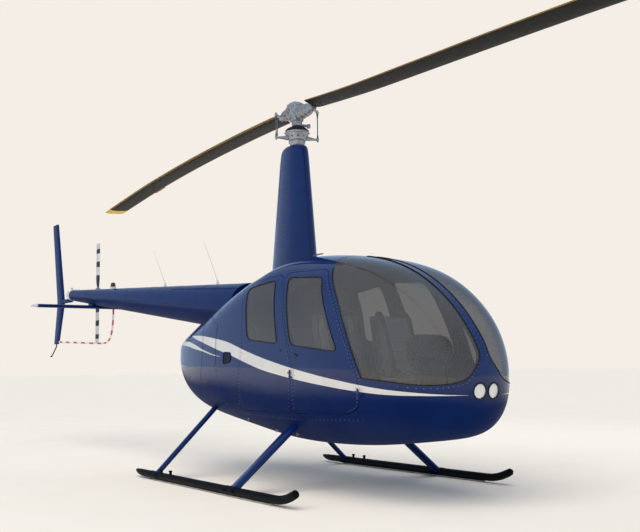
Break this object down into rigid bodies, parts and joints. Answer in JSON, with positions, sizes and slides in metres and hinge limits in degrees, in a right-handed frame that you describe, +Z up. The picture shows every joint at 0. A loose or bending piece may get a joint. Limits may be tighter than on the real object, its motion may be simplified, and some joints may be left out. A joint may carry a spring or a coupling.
{
  "type": "light four-seat helicopter on skids",
  "caption": "Light helicopter with a rounded four-seat cabin, hinged doors, teetering main rotor on a tall mast, slim tail boom, tail rotor and skid landing gear.",
  "frame": {"origin": "on the ground, under the middle of the outer box", "axes": "+X to the nose, +Y to port (left), +Z up"},
  "size_m": [11.7671, 2.184, 3.455],
  "materials": {
    "black_paint": "satin black, worn on the soles",
    "blue_paint": "gloss deep blue two-coat enamel",
    "charcoal": "matt charcoal with yellow edges and tip",
    "dark_plastic": "moulded, fine grain",
    "engine_grey": "plain grey, hidden",
    "grey_metal": "machined and bare, slightly dull",
    "lamp_glass": "clear lens over a bright reflector",
    "light_grey": "satin light grey",
    "red_white": "red and white dashes",
    "seat_cloth": "grey woven cloth",
    "smoked_glass": "smoked grey acrylic, polished"
  },
  "bodies": {
    "airframe": {"antenna_aft": "light_grey", "antenna_front": "light_grey", "beacon": "black_paint", "cabin_floor": "dark_plastic", "cabin_shell": "blue_paint", "cyclic_stick": "dark_plastic", "engine_block": "engine_grey", "engine_cowl": "blue_paint", "fin_bracket": "blue_paint", "firewall": "dark_plastic", "front_seat_left": "seat_cloth", "front_seat_right": "seat_cloth", "instrument_console": "dark_plastic", "landing_light_left": "lamp_glass", "landing_light_right": "lamp_glass", "leg_front_left": "blue_paint", "leg_front_right": "blue_paint", "leg_rear_left": "blue_paint", "leg_rear_right": "blue_paint", "mast_fairing": "blue_paint", "pitot_tube": "grey_metal", "rear_bench": "seat_cloth", "skid_left": "black_paint", "skid_right": "black_paint", "skid_shoe_left": "black_paint", "skid_shoe_right": "black_paint", "stabilizer": "blue_paint", "swashplate_fixed": "grey_metal", "tail_cone": "blue_paint", "tail_fin": "blue_paint", "tail_gearbox": "light_grey", "tail_guard": "red_white", "tail_skid": "black_paint", "windshield_left": "smoked_glass", "windshield_right": "smoked_glass"},
    "main_rotor": {"rotor_mast": "grey_metal", "swashplate_rotating": "grey_metal", "mast_boot": "black_paint", "rotor_hub": "grey_metal", "blade_grip_front": "grey_metal", "blade_grip_rear": "grey_metal", "pitch_link_front": "grey_metal", "pitch_link_rear": "grey_metal", "main_blade_front": "charcoal", "main_blade_rear": "charcoal"},
    "tail_rotor": {"tail_rotor_hub": "grey_metal", "tail_blade_upper": "light_grey", "tail_blade_lower": "light_grey"},
    "front_door_right": {"door_front_right": "blue_paint", "window_front_right": "smoked_glass"},
    "front_door_left": {"door_front_left": "blue_paint", "window_front_left": "smoked_glass"},
    "rear_door_right": {"door_rear_right": "blue_paint", "window_rear_right": "smoked_glass"},
    "rear_door_left": {"door_rear_left": "blue_paint", "window_rear_left": "smoked_glass"}
  },
  "joints": [
    {"name": "main_rotor_spin", "type": "hinge", "parent": "airframe", "child": "main_rotor", "pos_m": [0.8564, 0, 3.37], "axis": [0, 0, 1], "continuous": true},
    {"name": "tail_rotor_spin", "type": "hinge", "parent": "airframe", "child": "tail_rotor", "pos_m": [-5.0366, 0.388, 2.09], "axis": [0, 1, 0], "continuous": true},
    {"name": "front_door_right_hinge", "type": "hinge", "parent": "airframe", "child": "front_door_right", "pos_m": [2.5244, -0.59949, 0.79], "axis": [0, 0, 1], "range_deg": [0, 70]},
    {"name": "front_door_left_hinge", "type": "hinge", "parent": "airframe", "child": "front_door_left", "pos_m": [2.5244, 0.59949, 0.79], "axis": [0, 0, 1], "range_deg": [-70, 0]},
    {"name": "rear_door_right_hinge", "type": "hinge", "parent": "airframe", "child": "rear_door_right", "pos_m": [1.7044, -0.65382, 0.93], "axis": [0, 0, 1], "range_deg": [0, 70]},
    {"name": "rear_door_left_hinge", "type": "hinge", "parent": "airframe", "child": "rear_door_left", "pos_m": [1.7044, 0.65382, 0.93], "axis": [0, 0, 1], "range_deg": [-70, 0]}
  ]
}
